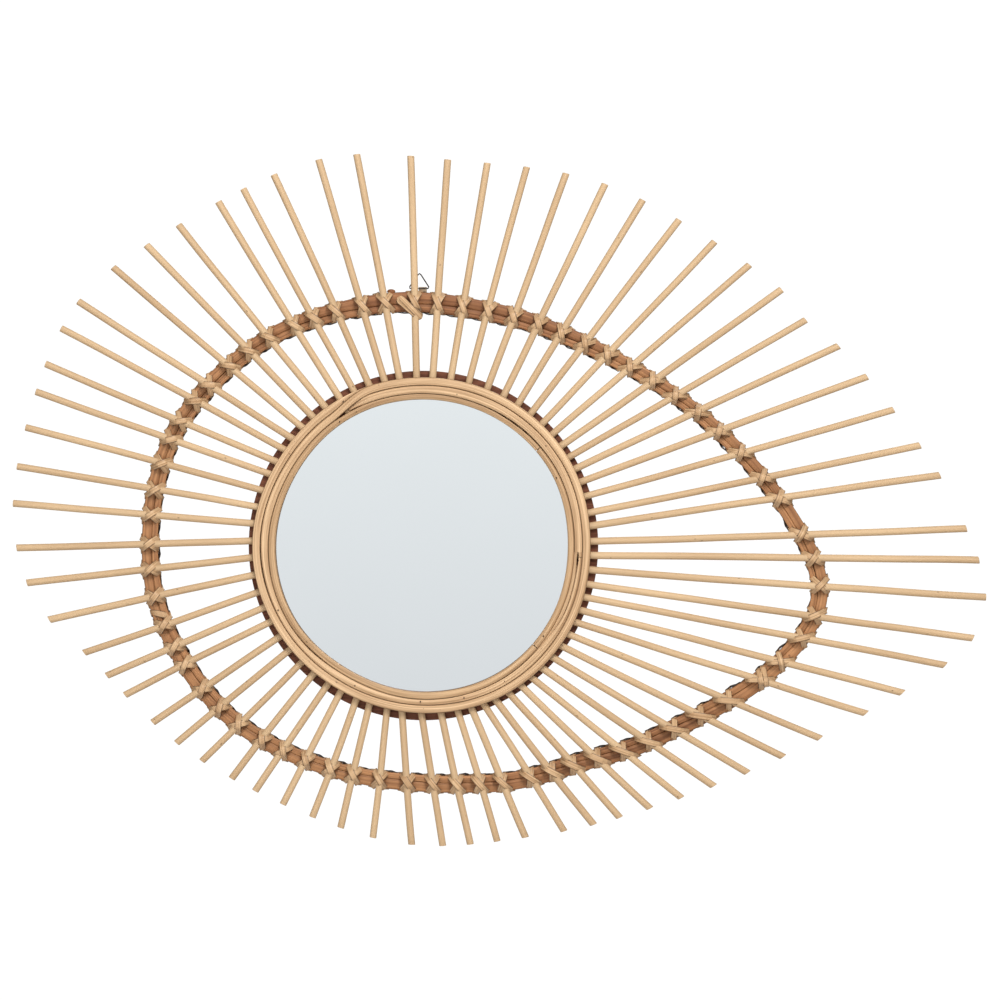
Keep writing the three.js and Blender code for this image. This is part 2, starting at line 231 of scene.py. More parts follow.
def smooth_between(values, place):
    """A smooth closed curve of values, read at a place counted in values."""
    here = math.floor(place)
    return smooth_step(*(values[(here + step) % len(values)] for step in (-1, 0, 1, 2)), place - here)


def round_the_glass(values, point):
    """The value at a point, from values at even angles round the glass, counter-clockwise from the right."""
    turn = math.atan2(point.z - centre.z, point.x - centre.x) / (2 * math.pi) % 1
    return smooth_between(values, turn * len(values))


def pressed(reach, flatness):
    """A place across a round section that is pressed squarer. A flatness of 1 leaves it round."""
    return math.copysign(abs(reach) ** flatness, reach)


def even_ring(points, count):
    """A smooth closed curve through the points, as count points at even distances, and its length."""
    steps = len(points) * 60
    fine = [smooth_between(points, step / 60) for step in range(steps)]
    fine.append(fine[0])
    lengths = [0]
    for a, b in zip(fine, fine[1:]):
        lengths.append(lengths[-1] + (b - a).length)
    even = []
    k = 0
    for step in range(count):
        target = lengths[-1] * step / count
        while lengths[k + 1] < target:
            k += 1
        even.append(fine[k].lerp(fine[k + 1], (target - lengths[k]) / (lengths[k + 1] - lengths[k])))
    return even, lengths[-1]


def straight_rod(sides, length, stations, grain_radius, grain_offset):
    """A closed straight rod of radius 1 along Z from the origin, with rings of vertices at even stations.
    Each vertex keeps its place in the straight cane, which the grain follows once the cane is bent."""
    rod = bmesh.new()
    bmesh.ops.create_cone(rod, cap_ends=True, segments=sides, radius1=1, radius2=1, depth=length)
    bmesh.ops.translate(rod, verts=rod.verts, vec=(0, 0, length / 2))
    long_edges = [edge for edge in rod.edges if abs(edge.verts[0].co.z - edge.verts[1].co.z) > length / 2]
    bmesh.ops.subdivide_edges(rod, edges=long_edges, cuts=stations - 1)
    layer = rod.verts.layers.float_vector.new("cane")
    for vertex in rod.verts:
        x, y, z = vertex.co
        vertex[layer] = Vector((x * grain_radius, y * grain_radius, z + grain_offset))
    return rod


def bend(rod, place):
    """Moves each vertex of a straight rod to place(x, y, z)."""
    for vertex in rod.verts:
        vertex.co = place(*vertex.co)


def close_ring(rod):
    """Joins the two ends of a rod that has been bent into a ring."""
    caps = [face for face in rod.faces if len(face.verts) > 4]
    bmesh.ops.delete(rod, geom=caps, context="FACES_ONLY")
    bmesh.ops.remove_doubles(rod, verts=rod.verts, dist=0.00001)


hoop_points = [centre + Vector((x, 0, z)) / 1000 for x, z in hoop_outline]
hoop_row, hoop_length = even_ring(hoop_points, hoop_stations)


def hoop_width(point):
    """Width across both canes at a point of the hoop."""
    return round_the_glass(hoop_widths, point)


def hoop_frame(station):
    """Point, counter-clockwise tangent and outward direction of the hoop at a station."""
    k = math.floor(station)
    point = hoop_row[k % hoop_stations].lerp(hoop_row[(k + 1) % hoop_stations], station - k)
    tangent = (hoop_row[(k + 1) % hoop_stations] - hoop_row[(k - 1) % hoop_stations]).normalized()
    return point, tangent, Vector((tangent.z, 0, -tangent.x))


def cane_grain_group():
    """Masks that follow a bent cane: fine fibres, broad streaks, slow drift of tone, and small specks."""
    group = bpy.data.node_groups.new("cane_grain", "ShaderNodeTree")
    group.interface.new_socket("Cane Place", in_out="INPUT", socket_type="NodeSocketVector")
    for name in ("Fibre", "Streak", "Drift", "Speck"):
        group.interface.new_socket(name, in_out="OUTPUT", socket_type="NodeSocketFloat")
    nodes, links = group.nodes, group.links
    given, result = nodes.new("NodeGroupInput"), nodes.new("NodeGroupOutput")

    def stretched(scale):
        product = nodes.new("ShaderNodeVectorMath")
        product.operation = "MULTIPLY"
        product.inputs[1].default_value = scale
        links.new(given.outputs["Cane Place"], product.inputs[0])
        return product.outputs[0]

    def mask(source, low, high, name):
        span = new_node(nodes, "MapRange", {"From Min": low, "From Max": high})
        links.new(source, span.inputs["Value"])
        links.new(span.outputs["Result"], result.inputs[name])

    for name, scale, detail in (
        ("Fibre", (1300, 1300, 26), 2),
        ("Streak", (1050, 1050, 6), 1),
        ("Drift", (30, 30, 6), 2),
    ):
        pattern = new_node(nodes, "TexNoise", {"Scale": 1, "Detail": detail})
        links.new(stretched(scale), pattern.inputs["Vector"])
        mask(pattern.outputs["Fac"], 0.3, 0.7, name)
    spots = new_node(nodes, "TexVoronoi", {"Scale": 1})
    links.new(stretched((110, 110, 62)), spots.inputs["Vector"])
    mask(spots.outputs["Distance"], 0.075, 0.04, "Speck")
    return group


cane_grain = cane_grain_group()


def maths(nodes, operation, number=0):
    """A sum on a value, and on a number where the sum has one."""
    node = nodes.new("ShaderNodeMath")
    node.operation = operation
    node.inputs[1].default_value = number
    return node


def flank_mask(nodes, links, place, low, high, most):
    """The parts of a piece's place in the straight cane, and a mask that rises along its flanks."""
    parts = nodes.new("ShaderNodeSeparateXYZ")
    sideways = maths(nodes, "ABSOLUTE")
    mask = new_node(nodes, "MapRange", {"From Min": low, "From Max": high, "To Max": most})
    links.new(place.outputs["Vector"], parts.inputs["Vector"])
    links.new(parts.outputs["X"], sideways.inputs[0])
    links.new(sideways.outputs[0], mask.inputs["Value"])
    return parts, mask.outputs["Result"]


def lay_over(material, mix):
    """Puts a mix of colours between the colour that a material has so far and its shader."""
    links = material.node_tree.links
    base_colour = material.node_tree.nodes["Principled BSDF"].inputs["Base Color"]
    links.new(base_colour.links[0].from_socket, mix.inputs["A"])
    links.new(mix.outputs["Result"], base_colour)


def cane_material(name, light, dark, roughness, relief_height, shares, speck=0.6, seam=None):
    """Cane of a light and a dark tone, with grain that follows the bent cane. The shares are those of
    fibre, streak and drift. With a seam, which is the distance from the cane's middle to its flank,
    both flanks are darkened with painted shade, for the creases where cane lies against cane."""
    material, nodes, links, shader = new_material(name, roughness)
    shader.inputs["Specular IOR Level"].default_value = 0.25
    place = nodes.new("ShaderNodeAttribute")
    place.attribute_name = "cane"
    grain = nodes.new("ShaderNodeGroup")
    grain.node_tree = cane_grain
    links.new(place.outputs["Vector"], grain.inputs["Cane Place"])
    total = None
    for source, share in zip(("Fibre", "Streak", "Drift"), shares):
        part = maths(nodes, "MULTIPLY_ADD", share)
        part.inputs[2].default_value = 0
        links.new(grain.outputs[source], part.inputs[0])
        if total:
            links.new(total.outputs[0], part.inputs[2])
        total = part
    tone = colour_mix(nodes, dark, light)
    links.new(total.outputs[0], tone.inputs["Factor"])
    links.new(tone.outputs["Result"], shader.inputs["Base Color"])
    depth = maths(nodes, "MULTIPLY", speck)
    specked = colour_mix(nodes, second=speck_colour)
    links.new(grain.outputs["Speck"], depth.inputs[0])
    links.new(depth.outputs[0], specked.inputs["Factor"])
    lay_over(material, specked)
    # Painted shade along both flanks, standing in for the shade in the creases between canes.
    if seam:
        _, flank = flank_mask(nodes, links, place, seam * 0.75, seam * 0.96, 0.9)
        painted_crease_shade = colour_mix(nodes, second=[0.45 * c for c in dark])
        links.new(flank, painted_crease_shade.inputs["Factor"])
        lay_over(material, painted_crease_shade)
    if relief_height:
        bump = new_node(nodes, "Bump", {"Strength": 0.3, "Distance": relief_height})
        links.new(grain.outputs["Streak"], bump.inputs["Height"])
        links.new(bump.outputs["Normal"], shader.inputs["Normal"])
    return material


# The hoop canes get painted shade along their flanks, for the crease between the two canes.
brown_cane = cane_material(
    "brown_cane", brown_cane_light, brown_cane_dark, 0.5, 0.0002, (0.3, 0.45, 0.25), 0.5, hoop_grain_radius
)
nodes, links = brown_cane.node_tree.nodes, brown_cane.node_tree.links
weathered = nodes.new("ShaderNodeAttribute")
weathered.attribute_name = "tone"
stain = colour_mix(nodes, stain_deep, stain_faded)
stained = colour_mix(nodes, blend="MULTIPLY")
stained.inputs["Factor"].default_value = 1
links.new(weathered.outputs["Fac"], stain.inputs["Factor"])
links.new(stain.outputs["Result"], stained.inputs["B"])
lay_over(brown_cane, stained)

for number, (node, (outer_edge, inner_edge)) in enumerate(hoop_canes.items()):
    node_low, node_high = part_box(node)
    middle_y = (node_low.y + node_high.y) / 2
    half_depth = (node_high.y - node_low.y) / 2
    cane = straight_rod(hoop_sides, hoop_length, hoop_stations, hoop_grain_radius, 5 * number)

    def hoop_place(x, y, z):
        point, _, outward = hoop_frame(z / hoop_length * hoop_stations)
        width = hoop_width(point)
        seam = hoop_seam_wander * noise.noise(point * 16)
        edges = [edge if abs(edge) == 0.5 else edge + seam for edge in (outer_edge, inner_edge)]
        half = (edges[0] - edges[1]) * width / 2 + hoop_press / 2
        half *= 1 + hoop_swell * noise.noise(point * 45 + Vector((0, 3 * number, 0)))
        offset = (edges[0] + edges[1]) * width / 2
        wander = hoop_wander * noise.noise(point * 30 + Vector((0, 3 * number, 0)))
        flat = point + outward * (offset + wander + half * pressed(x, hoop_flatness))
        return flat + Vector((0, middle_y - half_depth * pressed(y, hoop_flatness), 0))

    bend(cane, hoop_place)
    close_ring(cane)
    layer = cane.verts.layers.float.new("tone")
    for vertex in cane.verts:
        vertex[layer] = round_the_glass(hoop_tones, vertex.co) + hoop_blotch * noise.noise(vertex.co * 60)
    finish_piece(node + "_brown", cane, [brown_cane], "brown_cane", node)

scarf_place = Matrix.Translation(scarf_end + Vector((0, middle_y, 0)))
scarf_tip = bmesh.new()
bmesh.ops.create_uvsphere(
    scarf_tip, u_segments=16, v_segments=10, radius=1,
    matrix=scarf_place @ Matrix.Diagonal((*scarf_end_radii, 1)),
)
finish_piece("hoop_scarf_end", scarf_tip, [brown_cane], "brown_cane")


# Sticks
# Sixty-eight round sticks of peeled cane core, about 6 mm thick. Their inner ends are nailed flat to
# the board under the frame canes, and their outer ends are cut off on the slant along the eye outline.
stick_radius = 0.0031
stick_sides = 14
stick_station = 0.009
stick_depth = 0.0125
stick_bow = 0.0008
stick_sway = 0.0005
stick_lift = 0.0004
stick_end_round = 0.0004
feet_within = 0.135
tip_within = 0.005
pale_cane_light = (0.685, 0.475, 0.275)
pale_cane_dark = (0.485, 0.31, 0.168)
cut_cane_light = (0.66, 0.47, 0.29)
cut_cane_dark = (0.36, 0.22, 0.12)

pale_cane = cane_material("pale_cane", pale_cane_light, pale_cane_dark, 0.55, 0, (0.1, 0.3, 0.6))
cut_cane = cane_material("cut_cane", cut_cane_light, cut_cane_dark, 0.8, 0.0003, (0.6, 0.2, 0.2))


def stick_lines(node):
    """Foot, tip and slope of the cut end of the two sticks of a pair, read from the pair's solid."""
    places = {tuple(round(c, 6) for c in vertex.co) for vertex in node.data.vertices}
    flat = [(Vector((x, 0, z)), y) for x, y, z in places]
    back = min(y for point, y in flat if (point - centre).length < feet_within)
    ridge = sorted((point for point, y in flat if abs(y - back) < 1e-5), key=lambda p: (p - centre).length)
    lines = []

    def in_order(pair):
        middle = (pair[0] + pair[1]) / 2 - centre
        return sorted(pair, key=lambda point: middle.x * (point - centre).z - middle.z * (point - centre).x)

    for foot, tip in zip(in_order(ridge[:2]), in_order(ridge[-2:])):
        along = (tip - foot).normalized()
        across = Vector((-along.z, 0, along.x))
        rim = [point - tip for point, _ in flat if (point - tip).length < tip_within]
        slope = sum(p.dot(along) * p.dot(across) for p in rim) / sum(p.dot(across) ** 2 for p in rim)
        lines.append((foot, tip, slope))
    return lines


pair_names = sorted(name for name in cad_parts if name.startswith("stick_pair_"))
sticks = []
for pair_name in pair_names:
    for foot, tip, slope in stick_lines(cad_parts[pair_name]):
        along = (tip - foot).normalized()
        sticks.append({"pair": pair_name, "foot": foot, "tip": tip, "slope": slope, "along": along,
                       "across": Vector((-along.z, 0, along.x)), "length": (tip - foot).length})

for number, stick in enumerate(sticks, 1):
    foot, along, across, length = stick["foot"], stick["along"], stick["across"], stick["length"]
    chance = random.Random(number)
    bow = chance.uniform(-stick_bow, stick_bow)
    radius = stick_radius * chance.uniform(0.96, 1.03)
    rod = straight_rod(stick_sides, length, int(length / stick_station), radius, 3.7 * number)
    caps = [face for face in rod.faces if len(face.verts) > 4]
    rims = list({edge for face in caps for edge in face.edges})
    bmesh.ops.scale(rod, verts=rod.verts, vec=(radius, radius, 1))
    bmesh.ops.bevel(
        rod, geom=rims, offset=stick_end_round, segments=2, profile=0.5, affect="EDGES", material=-1
    )
    for face in rod.faces:
        face.material_index = 1 if len(face.verts) > 4 else 0

    def stick_place(x, y, z):
        slant = stick["slope"] * x if z > length - 2 * stick_end_round else 0
        sway = bow * math.sin(math.pi * z / length)
        sway += stick_sway * noise.noise(Vector((z * 14, number * 5.3, 0)))
        lift = stick_lift * noise.noise(Vector((z * 11, 0, number * 3.1)))
        flat = foot + along * (z + slant) + across * (x + sway)
        return flat + Vector((0, y - stick_depth + lift, 0))

    bend(rod, stick_place)
    finish_piece(f"stick_{number:02d}", rod, [pale_cane, cut_cane], "pale_cane", stick["pair"])


# Frame canes
# Round canes bent side by side round the glass and nailed down over the stick feet. Two canes that meet
# end to end lie innermost. Outside them one cane is wound twice, clockwise from a pointed start at the
# upper left to a taper there. It is spliced at the right, with two halves side by side for a while.
inner_rim = [0.1242, 0.1262, 0.1258, 0.1256, 0.1262, 0.1253, 0.1266, 0.1268, 0.1242, 0.1254, 0.1266, 0.1258]
inner_seam = [0.1297, 0.1316, 0.1307, 0.1305, 0.1314, 0.1308, 0.133, 0.1331, 0.13, 0.1319, 0.1329, 0.1312]
outer_seam = [0.1366, 0.1386, 0.1382, 0.1375, 0.138, 0.1376, 0.1398, 0.1382, 0.1363, 0.1369, 0.1389, 0.1385]
outer_cane_width = 0.0071
inner_joints = (40, -42)
joint_gap = 0.15
wound_start = 118.5
point_rise = (wound_start - 8, wound_start - 3)
point_lift = 0.0012
wound_shift = (126, 108)
wound_end = 109
splice = (-2.4, -46)
splice_butt = -4.2
butt_gap = 0.12
splice_fade_run = 22
level_until = splice[1] - 30
slit_share = 0.46
slit_width = 0.00055
slit_least = 0.00012
slit_close = (-11, -5)
half_end_width = 0.0006
thinnest_cane = 0.0008
seam_overlap = 0.00008
open_seams = {"inner": ((52, 12, 0.001), (120, 5, 0.0008), (224, 6, 0.0008)), "outer": ((188, 12, 0.0006),)}
frame_cane_y = (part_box("frame_cane_outer")[0].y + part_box("frame_cane_outer")[1].y) / 2
frame_cane_radius = 0.0033
frame_cane_half_depth = 0.0029
whole_cane_width = 0.0062
frame_middle_reach = 0.135
frame_station = 1.25
frame_flatness = 0.68
split_flatness = 0.35
frame_lift = 0.0002
frame_cane_light, frame_cane_dark = (0.90, 0.615, 0.36), (0.31, 0.16, 0.07)
# The innermost canes take a darker copy of the frame cane's tones: painted shade for the ring beside the
# glass.
inner_cane_light, inner_cane_dark = (0.74, 0.485, 0.27), (0.24, 0.12, 0.048)
frame_grain = (0.35, 0.5, 0.15)

# Both frame cane materials darken their flanks with painted shade, for the creases between canes.
frame_cane = cane_material(
    "frame_cane", frame_cane_light, frame_cane_dark, 0.5, 0.0002, frame_grain, seam=frame_cane_radius
)
shaded_inner_cane = cane_material(
    "shaded_inner_cane", inner_cane_light, inner_cane_dark, 0.5, 0.0002, frame_grain, seam=frame_cane_radius
)


def at_angle(values, angle):
    """A value at an angle, from twelve values at every 30 degrees."""
    return smooth_between(values, angle % 360 / 30)


def ramp(angle, start, stop):
    """0 before the start, 1 after the stop, smooth between."""
    f = min(max((angle - start) / (stop - start), 0), 1)
    return f * f * (3 - 2 * f)


def seam_gap(which, angle):
    """Half of the gap that is left open along a seam, at an angle."""
    gap = -seam_overlap
    for middle, spread, width in open_seams[which]:
        away = (angle - middle + 180) % 360 - 180
        gap = max(gap, width / 2 * math.exp(-(away / spread) ** 2))
    return gap


def inner_place(angle):
    """Inner and outer edge of the innermost canes, from the centre of the glass."""
    return at_angle(inner_rim, angle), at_angle(inner_seam, angle) - seam_gap("inner", angle)


def middle_place(angle):
    """Edges of the place beside them, which the wound cane takes in its first turn."""
    low = at_angle(inner_seam, angle) + seam_gap("inner", angle)
    return low, at_angle(outer_seam, angle) - seam_gap("outer", angle)


def outer_place(angle):
    """Edges of the outermost place."""
    low = at_angle(outer_seam, angle)
    return low + seam_gap("outer", angle), low + outer_cane_width


def shifting_place(angle):
    """Edges of the second winding: from the middle place to the outer one. Angles fall from 360."""
    moved = ramp(-angle, -wound_shift[0], -wound_shift[1])
    middle, outer = middle_place(angle), outer_place(angle)
    return tuple(a + (b - a) * moved for a, b in zip(middle, outer))


def wound_place(angle):
    """Edges of the wound cane. The angle falls from the start, by one turn and then by another."""
    if angle > wound_start - 40:
        low, high = middle_place(angle)
        low += 0.0002 * ramp(angle, *point_rise)
        return low, max(low + thinnest_cane, min(high, shifting_place(angle)[0] + 0.0002))
    if angle > wound_shift[0] - 400:
        return shifting_place(angle + 360)
    low, high = outer_place(angle)
    if angle < wound_shift[0] - 720 + 5:
        low = max(low, shifting_place(angle + 720)[1])
    return min(low, high - thinnest_cane), high


def frame_strand(name, start, stop, edges, material, replaced, offset, lift_at_start=0, split=False):
    """A cane along the frame from one angle to another, between its inner and outer edge. A split cane
    keeps the round front of the whole one."""
    span = abs(stop - start)
    stations = max(int(span / frame_station), 6)
    length = math.radians(span) * frame_middle_reach
    cane = straight_rod(16, length, stations, frame_cane_radius, offset)
    layer = cane.verts.layers.float_vector["cane"]
    for vertex in cane.verts:
        low, high = edges(start + (stop - start) * vertex.co.z / length)
        vertex[layer].x *= min(1, (high - low) / whole_cane_width)

    def strand_place(x, y, z):
        angle = start + (stop - start) * (z / length)
        low, high = edges(angle)
        half = (high - low) / 2
        depth = frame_cane_half_depth * min(1, half / frame_cane_radius)
        turn = math.radians(angle)
        outward = Vector((math.cos(turn), 0, math.sin(turn)))
        across = pressed(x, frame_flatness)
        forward = pressed(y, frame_flatness)
        whole_low, whole_high = wound_place(angle)
        if split and high - low < 0.95 * (whole_high - whole_low):
            across = pressed(x, split_flatness)
            forward = pressed(y, split_flatness)
            off_middle = low + high + 2 * half * across - whole_low - whole_high
            away = off_middle / (whole_high - whole_low)
            depth = frame_cane_half_depth * math.sqrt(max(1 - abs(away) ** 2.5, 0.02))
        middle_y = frame_cane_y + frame_lift * noise.noise(outward * 4)
        if not split or angle <= level_until:
            middle_y += frame_cane_half_depth - depth
        middle_y += lift_at_start * ramp(angle, *point_rise)
        reach = (low + high) / 2 + half * across
        return centre + outward * reach + Vector((0, max(middle_y + depth * forward, cad_low.y), 0))

    bend(cane, strand_place)
    finish_piece(name, cane, [material], "pale_cane", *replaced)


first_joint, second_joint = inner_joints
frame_strand("frame_cane_inner_short", second_joint + joint_gap, first_joint - joint_gap, inner_place,
             shaded_inner_cane, ["frame_cane_inner"], 11)
frame_strand("frame_cane_inner_long", first_joint + joint_gap, 360 + second_joint - joint_gap, inner_place,
             shaded_inner_cane, ["frame_cane_inner"], 13)


def slit(angle):
    """Middle of the slit between the two halves of the splice, and half of its width."""
    low, high = wound_place(angle)
    width = slit_width * ramp(-angle, -splice[0], 0.6 - splice[0]) * ramp(angle, *slit_close)
    return low + slit_share * (high - low), slit_least + width


def splice_fade(angle):
    """0 along most of the splice, and rising to 1 where it ends."""
    return ramp(-angle, -splice[1] - splice_fade_run, -splice[1])


def splice_inner_half(angle):
    """The inner half of the first length, which runs on beside the second length and thins out."""
    low, _ = wound_place(angle)
    middle, gap = slit(angle)
    closing = splice_fade(angle)
    return low, low + (middle - gap - low) * (1 - closing) + half_end_width * closing


def splice_outer_half(angle):
    """The outer half: up to the butt it belongs to the first length, and then to the second."""
    low, high = wound_place(angle)
    if angle > splice[1] - 10:
        middle, gap = slit(angle)
        low = middle + gap + (low - middle - gap) * splice_fade(angle)
    return low, high


wound_nodes = ["frame_cane_middle", "frame_cane_outer"]
frame_strand("frame_cane_wound_first", wound_start, splice[0], wound_place, frame_cane, wound_nodes, 17,
             lift_at_start=point_lift)
frame_strand("frame_cane_first_inner_half", splice[0], splice[1], splice_inner_half, frame_cane,
             wound_nodes, 17, split=True)
frame_strand("frame_cane_first_outer_half", splice[0], splice_butt + butt_gap, splice_outer_half, frame_cane,
             wound_nodes, 17, split=True)
frame_strand("frame_cane_wound_second", splice_butt - butt_gap, wound_end - 720, splice_outer_half,
             frame_cane, wound_nodes, 21, split=True)


# Brads
# Small dark steel brads, driven through the frame canes and the stick feet into the board.
# Their heads sit level with the round front of the cane.
brad_radius = 0.0006
brad_clean, brad_aged = (0.02, 0.012, 0.008), (0.075, 0.03, 0.014)
brad_angles = {
    "inner": (124, -37, 27),
    "middle": (102, 125, 140, 155, 204, 244, 269, 285, -5.5, -24, -41, -59, 50, 32),
    "outer": (101, 119, 126, 141, 162, 186, 218, 252, 262, 270, 276, 11, -8, -32, -46, 45, 31, 61, 78),
}
brad_places = {"inner": inner_place, "middle": middle_place, "outer": outer_place}


def metal_material(name, roughness, metallic, clean, aged):
    """Metal whose colour wanders between a clean and an aged tone."""
    material, nodes, links, shader = new_material(name, roughness)
    shader.inputs["Metallic"].default_value = metallic
    age = fixed_noise(nodes, links, 420, 3)
    tone = colour_mix(nodes, clean, aged)
    links.new(age.outputs["Fac"], tone.inputs["Factor"])
    links.new(tone.outputs["Result"], shader.inputs["Base Color"])
    return material


brad_material = metal_material("brad_steel", 0.6, 0.5, brad_clean, brad_aged)

brads = bmesh.new()
for which, angles in brad_angles.items():
    chance = random.Random(which)
    for angle in angles:
        low, high = brad_places[which](angle)
        turn = math.radians(angle)
        across = chance.uniform(0.4, 0.62)
        reach = low + (high - low) * across
        front_y = frame_cane_y - frame_cane_half_depth * math.sqrt(1 - (2 * across - 1) ** 2)
        front_y = max(front_y, cad_low.y + brad_radius / 2)
        spot = centre + Vector((math.cos(turn), 0, math.sin(turn))) * reach + Vector((0, front_y, 0))
        lean = Matrix.Rotation(chance.uniform(-0.3, 0.3), 4, "Z")
        bmesh.ops.create_uvsphere(
            brads, u_segments=10, v_segments=6, radius=brad_radius,
            matrix=Matrix.Translation(spot) @ lean @ Matrix.Diagonal((1, 0.5, 1.3, 1)),
        )
finish_piece("brads", brads, [brad_material], "dark_wire")


# Binding
# Flat strips of split cane skin, about 5 mm wide, that lash each stick to the hoop with a cross.
# Behind the hoop the strip runs on from cross to cross, and it comes forward again round the inside.
strip_width = 0.0055
strip_thickness = 0.0007
strip_crown = 0.0003
strip_clearance = 0.0001
strip_on_strip = 0.0009
flank_stand_off = 0.0009
lowest_rest = 0.0045
cross_spreads = [7.4, 7.6, 6.6, 5.0, 6.0, 7.4, 6.2, 5.8, 6.0, 6.4, 5.8, 8.2]
cross_turns = [0.65, 1.05, 0.9, 0.75, 0.3, 0.1, 0.3, 0.45, 0.5, 0.6, 0.9, 0.6]
arm_steps = 20
strip_light = (0.76, 0.51, 0.29)
strip_dark = (0.34, 0.175, 0.076)
strip_edge_shade = (0.045, 0.020, 0.010)
swapped_crossings = (62, 63)
doubled_crossing = 62
doubled_shift = 0.0047
widest_crossing = 18
hoop_sections = []
for node, (outer_edge, inner_edge) in hoop_canes.items():
    node_low, node_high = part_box(node)
    hoop_sections.append((-(node_low.y + node_high.y) / 2, (node_high.y - node_low.y) / 2,
                          (outer_edge + inner_edge) / 2, (outer_edge - inner_edge) / 2))

strip_cane = cane_material("strip_cane", strip_light, strip_dark, 0.4, 0.0003, (0.25, 0.6, 0.15), 0.25)
nodes, links = strip_cane.node_tree.nodes, strip_cane.node_tree.links
place = nodes.new("ShaderNodeAttribute")
place.attribute_name = "cane"
# Painted shade: the strip's long edges go nearly black, for the shadow gaps beside each strip, and so do the
# parts that the shades mark.
parts, edge_shade_mask = flank_mask(nodes, links, place, strip_width * 0.375, strip_width * 0.47, 0.95)
darkest = maths(nodes, "MAXIMUM")
edge_shaded = colour_mix(nodes, second=strip_edge_shade)
links.new(edge_shade_mask, darkest.inputs[0])
links.new(parts.outputs["Y"], darkest.inputs[1])
links.new(darkest.outputs[0], edge_shaded.inputs["Factor"])
lay_over(strip_cane, edge_shaded)


def crossing(stick):
    """The station of the hoop at which a stick crosses its middle."""
    for k in range(hoop_stations):
        a, b = hoop_row[k], hoop_row[(k + 1) % hoop_stations]
        line, side, reach = stick["along"], b - a, a - stick["foot"]
        spread = line.x * side.z - line.z * side.x
        share = (reach.x * line.z - reach.z * line.x) / spread
        distance = (reach.x * side.z - reach.z * side.x) / spread
        if 0 <= share < 1 and 0 < distance < stick["length"]:
            return k + share
    raise ValueError("the stick misses the hoop")


def smooth_run(points, per_span):
    """A smooth open run through the points."""
    row = []
    for k in range(len(points) - 1):
        nearby = (points[max(k - 1, 0)], points[k], points[k + 1], points[min(k + 2, len(points) - 1)])
        for step in range(per_span):
            row.append(smooth_step(*nearby, step / per_span))
    row.append(points[-1].copy())
    return row


def flat_strip(builder, points, faces_out, width, offset, taper=0.0, shades=None):
    """A thin, slightly crowned strip along points. faces_out are the directions that its skin faces, and
    the shades tell how far it is darkened with painted shade."""
    last = len(points) - 1
    strip = straight_rod(10, 1, last, 1, 0)
    layer = strip.verts.layers.float_vector["cane"]
    travelled = [0]
    for a, b in zip(points, points[1:]):
        travelled.append(travelled[-1] + (b - a).length)
    for vertex in strip.verts:
        k = round(vertex.co.z * last)
        side = pressed(vertex.co.x, 0.5)
        height = pressed(vertex.co.y, 0.4) * strip_thickness / 2 + strip_crown * (1 - side * side)
        along = (points[min(k + 1, last)] - points[max(k - 1, 0)]).normalized()
        across = along.cross(faces_out[k]).normalized()
        out = across.cross(along).normalized()
        end = min(travelled[k], travelled[-1] - travelled[k])
        narrow = min(1, math.sqrt(max(end, 0.0001) / taper)) if taper else 1
        shade = shades[k].x if shades else 0
        vertex[layer] = Vector((side * strip_width / 2, shade, travelled[k] + offset))
        vertex.co = points[k] + across * (side * narrow * width / 2) + out * height
    mesh = bpy.data.meshes.new("strip_part")
    strip.to_mesh(mesh)
    strip.free()
    builder.from_mesh(mesh)
    bpy.data.meshes.remove(mesh)


def rests_on(stick, half, flat, out):
    """How far from the wall a strip lies on the stick or on the hoop at a place."""
    height = lowest_rest
    for middle, depth, offset, share in hoop_sections:
        x = (out - offset * 2 * half) / (share * 2 * half)
        if abs(x) < 1:
            height = max(height, middle + depth * math.sqrt(1 - x * x))
    away = abs((flat - stick["foot"]).dot(stick["across"]))
    if away < stick_radius:
        height = max(height, stick_depth + math.sqrt(stick_radius ** 2 - away ** 2))
    return height + strip_thickness / 2 + strip_clearance


def pulled_tight(profile):
    """The upper hull of a profile of (distance, height): the way a tight strip lies over it."""
    hull = []
    for spot in profile:
        while len(hull) > 1:
            (x0, y0), (x1, y1) = hull[-2], hull[-1]
            if (y1 - y0) * (spot[0] - x0) > (spot[1] - y0) * (x1 - x0):
                break
            hull.pop()
        hull.append(spot)
    heights = []
    k = 0
    for x, _ in profile:
        while hull[k + 1][0] < x:
            k += 1
        (x0, y0), (x1, y1) = hull[k], hull[k + 1]
        heights.append(y0 + (y1 - y0) * (x - x0) / (x1 - x0))
    return heights


front, back = Vector((0, -1, 0)), Vector((0, 1, 0))
binding = bmesh.new()
stations = [crossing(stick) for stick in sticks]

